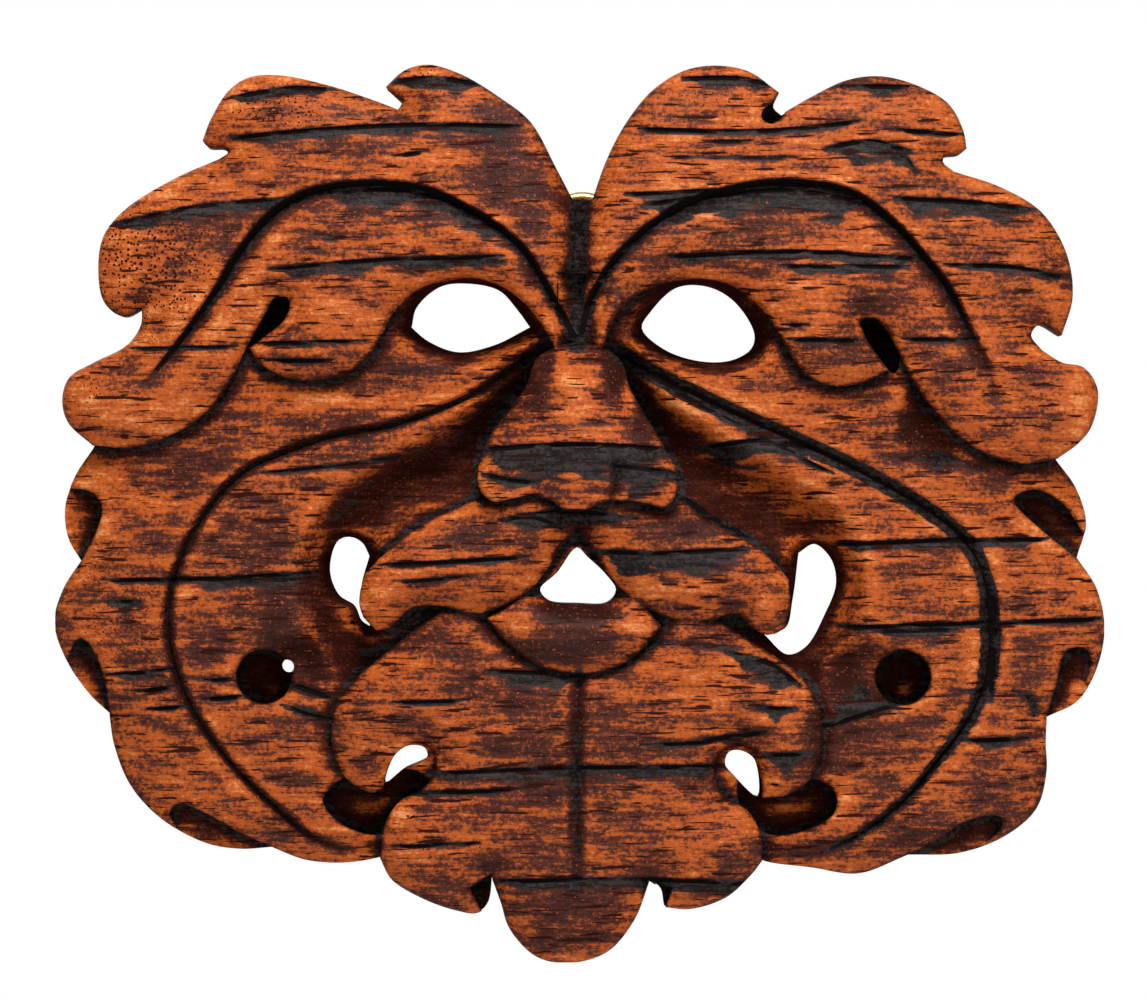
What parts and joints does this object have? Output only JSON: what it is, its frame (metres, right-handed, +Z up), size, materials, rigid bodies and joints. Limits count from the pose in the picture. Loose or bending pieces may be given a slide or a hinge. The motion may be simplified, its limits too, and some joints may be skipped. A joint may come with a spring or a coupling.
{
  "type": "foliate mask wall plaque",
  "caption": "Carved foliate face wall plaque: leaf brows, cheeks, moustache and chin, pierced eyes and mouth, with a hanging ring.",
  "frame": {"origin": "the point that hangs on the nail: the underside of the top of the hanger's ring, on the plane of the flat back", "axes": "+X along the mask's width, +Y out of its flat back towards the wall, +Z up"},
  "size_m": [0.1997, 0.03, 0.17],
  "materials": {
    "stained_wood": "dark stain in the cuts, orange-brown rubbed over the raised grain",
    "hanger_brass": "polished",
    "screw_brass": "satin"
  },
  "bodies": {
    "root": {"mask": "stained_wood", "hanger": "hanger_brass", "hanger_screw": "screw_brass"}
  },
  "joints": []
}
